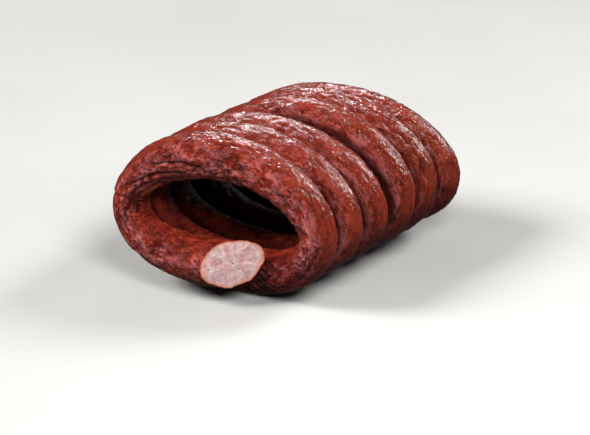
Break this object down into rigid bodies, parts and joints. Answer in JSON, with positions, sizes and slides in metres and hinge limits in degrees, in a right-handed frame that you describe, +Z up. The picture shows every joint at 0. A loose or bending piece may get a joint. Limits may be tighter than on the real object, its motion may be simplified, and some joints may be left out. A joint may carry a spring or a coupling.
{
  "type": "cured sausage",
  "caption": "Long smoked sausage in wrinkled natural casing, wound as an upright coil of oval loops, with a slanted cut at the front end.",
  "frame": {"origin": "on the surface that the coil rests on, below the middle of the whole coil", "axes": "+Z up; +Y along the coil's axis, away from the cut end; +X along the length of each loop, to the right seen from the cut end"},
  "size_m": [0.2106, 0.2352, 0.1307],
  "materials": {
    "casing": "glossy, finely wrinkled, dark red-brown smoked casing; pale pink-grey minced meat on the cut end"
  },
  "bodies": {
    "root": {"sausage_coil": "casing"}
  },
  "joints": []
}
